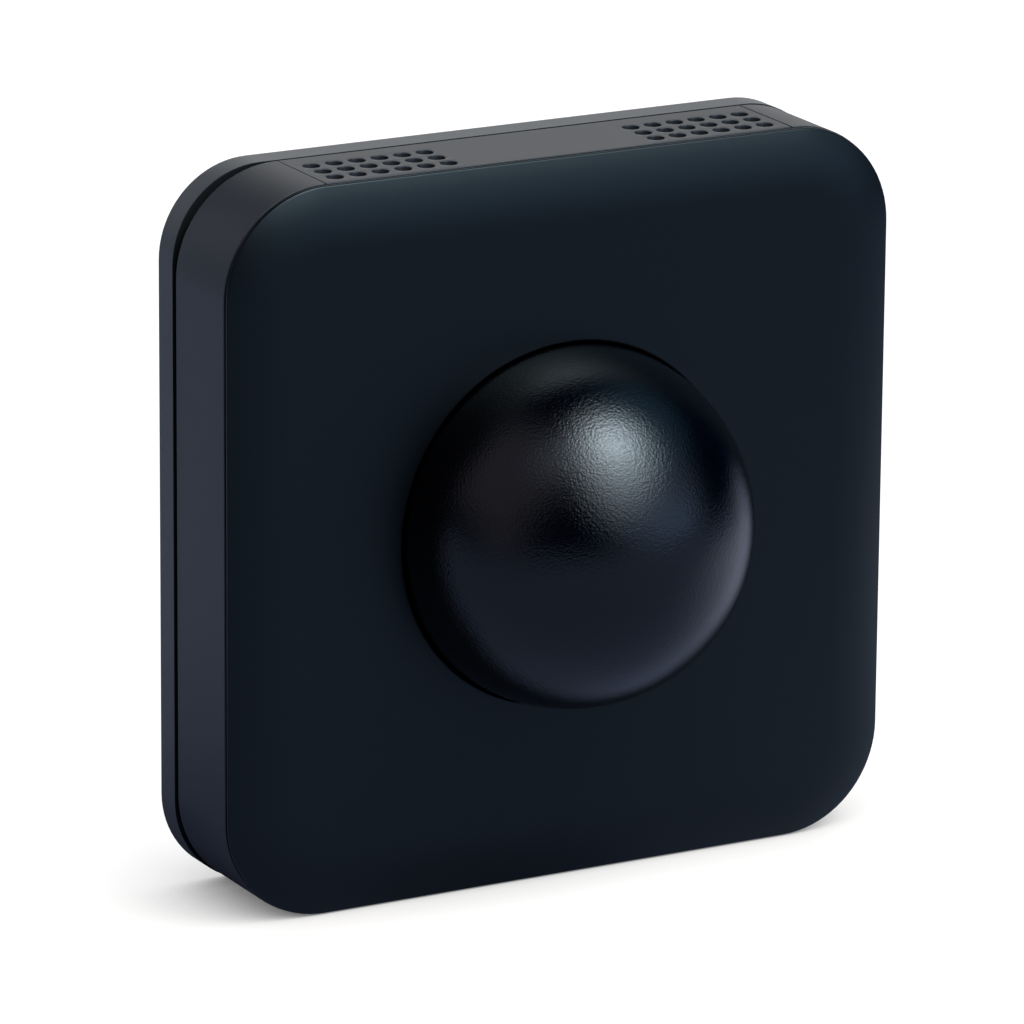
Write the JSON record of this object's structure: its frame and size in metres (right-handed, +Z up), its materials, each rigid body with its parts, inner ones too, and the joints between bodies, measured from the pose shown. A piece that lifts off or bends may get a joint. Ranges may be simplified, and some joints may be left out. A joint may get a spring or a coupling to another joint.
{
  "type": "flush mount temperature sensor",
  "caption": "Square wall-mounted room temperature sensor with a half-globe radiant probe on its front, vented edges, and a lift-off front on a wall plate.",
  "frame": {"origin": "centre of the flush-box screw pattern, in the plane of the wall face", "axes": "+Y into the wall, -Y out of the front, +Z up on the wall, +X to the right seen from the front"},
  "size_m": [0.0844, 0.04, 0.0844],
  "materials": {
    "housing_black": "fine eroded texture, matt",
    "cover_black": "very smooth, matt",
    "globe_black": "fine grain under a gloss",
    "gasket_foam": "closed-cell foam",
    "screw_steel": "zinc plated",
    "board_laminate": "green solder mask",
    "stem_plastic": "moulded, off-white",
    "probe_resin": "dark epoxy bead",
    "tinned_wire": "tinned copper",
    "chip_resin": "moulded epoxy",
    "terminal_green": "moulded polyamide",
    "clamp_brass": "nickel-free brass",
    "can_aluminium": "drawn can",
    "led_lens": "clear to milky resin",
    "key_plastic": "moulded, red"
  },
  "bodies": {
    "wall_side": {"wall_plate": "housing_black"},
    "front_unit": {"frame": "housing_black", "top_vent_strip": "housing_black", "bottom_vent_strip": "housing_black", "front_cover": "cover_black", "globe": "globe_black", "globe_gasket": "gasket_foam", "clamp_ring": "housing_black", "clamp_ring_screws": "screw_steel", "main_board": "board_laminate", "board_screws": "screw_steel", "probe_stem": "stem_plastic", "globe_probe": "probe_resin", "probe_leads": "tinned_wire", "air_sensor_board": "board_laminate", "air_sensor_chip": "chip_resin", "bridge_pins": "tinned_wire", "air_duct": "housing_black", "terminal_block": "terminal_green", "terminal_clamps": "clamp_brass", "terminal_screws": "screw_steel", "microcontroller": "chip_resin", "bus_transceiver": "chip_resin", "voltage_regulator": "chip_resin", "filter_capacitors": "can_aluminium", "status_led": "led_lens", "learn_key_body": "chip_resin"},
    "learn_key": {"learn_key": "key_plastic"}
  },
  "joints": [
    {"name": "front_pull_off", "type": "slide", "parent": "wall_side", "child": "front_unit", "axis": [0, -1, 0], "range_m": [0, 0.03]},
    {"name": "learn_press", "type": "slide", "parent": "front_unit", "child": "learn_key", "axis": [0, -1, 0], "range_m": [0, 0.0003], "stiffness_N_per_m": 2000, "springref_m": -0.0001}
  ]
}
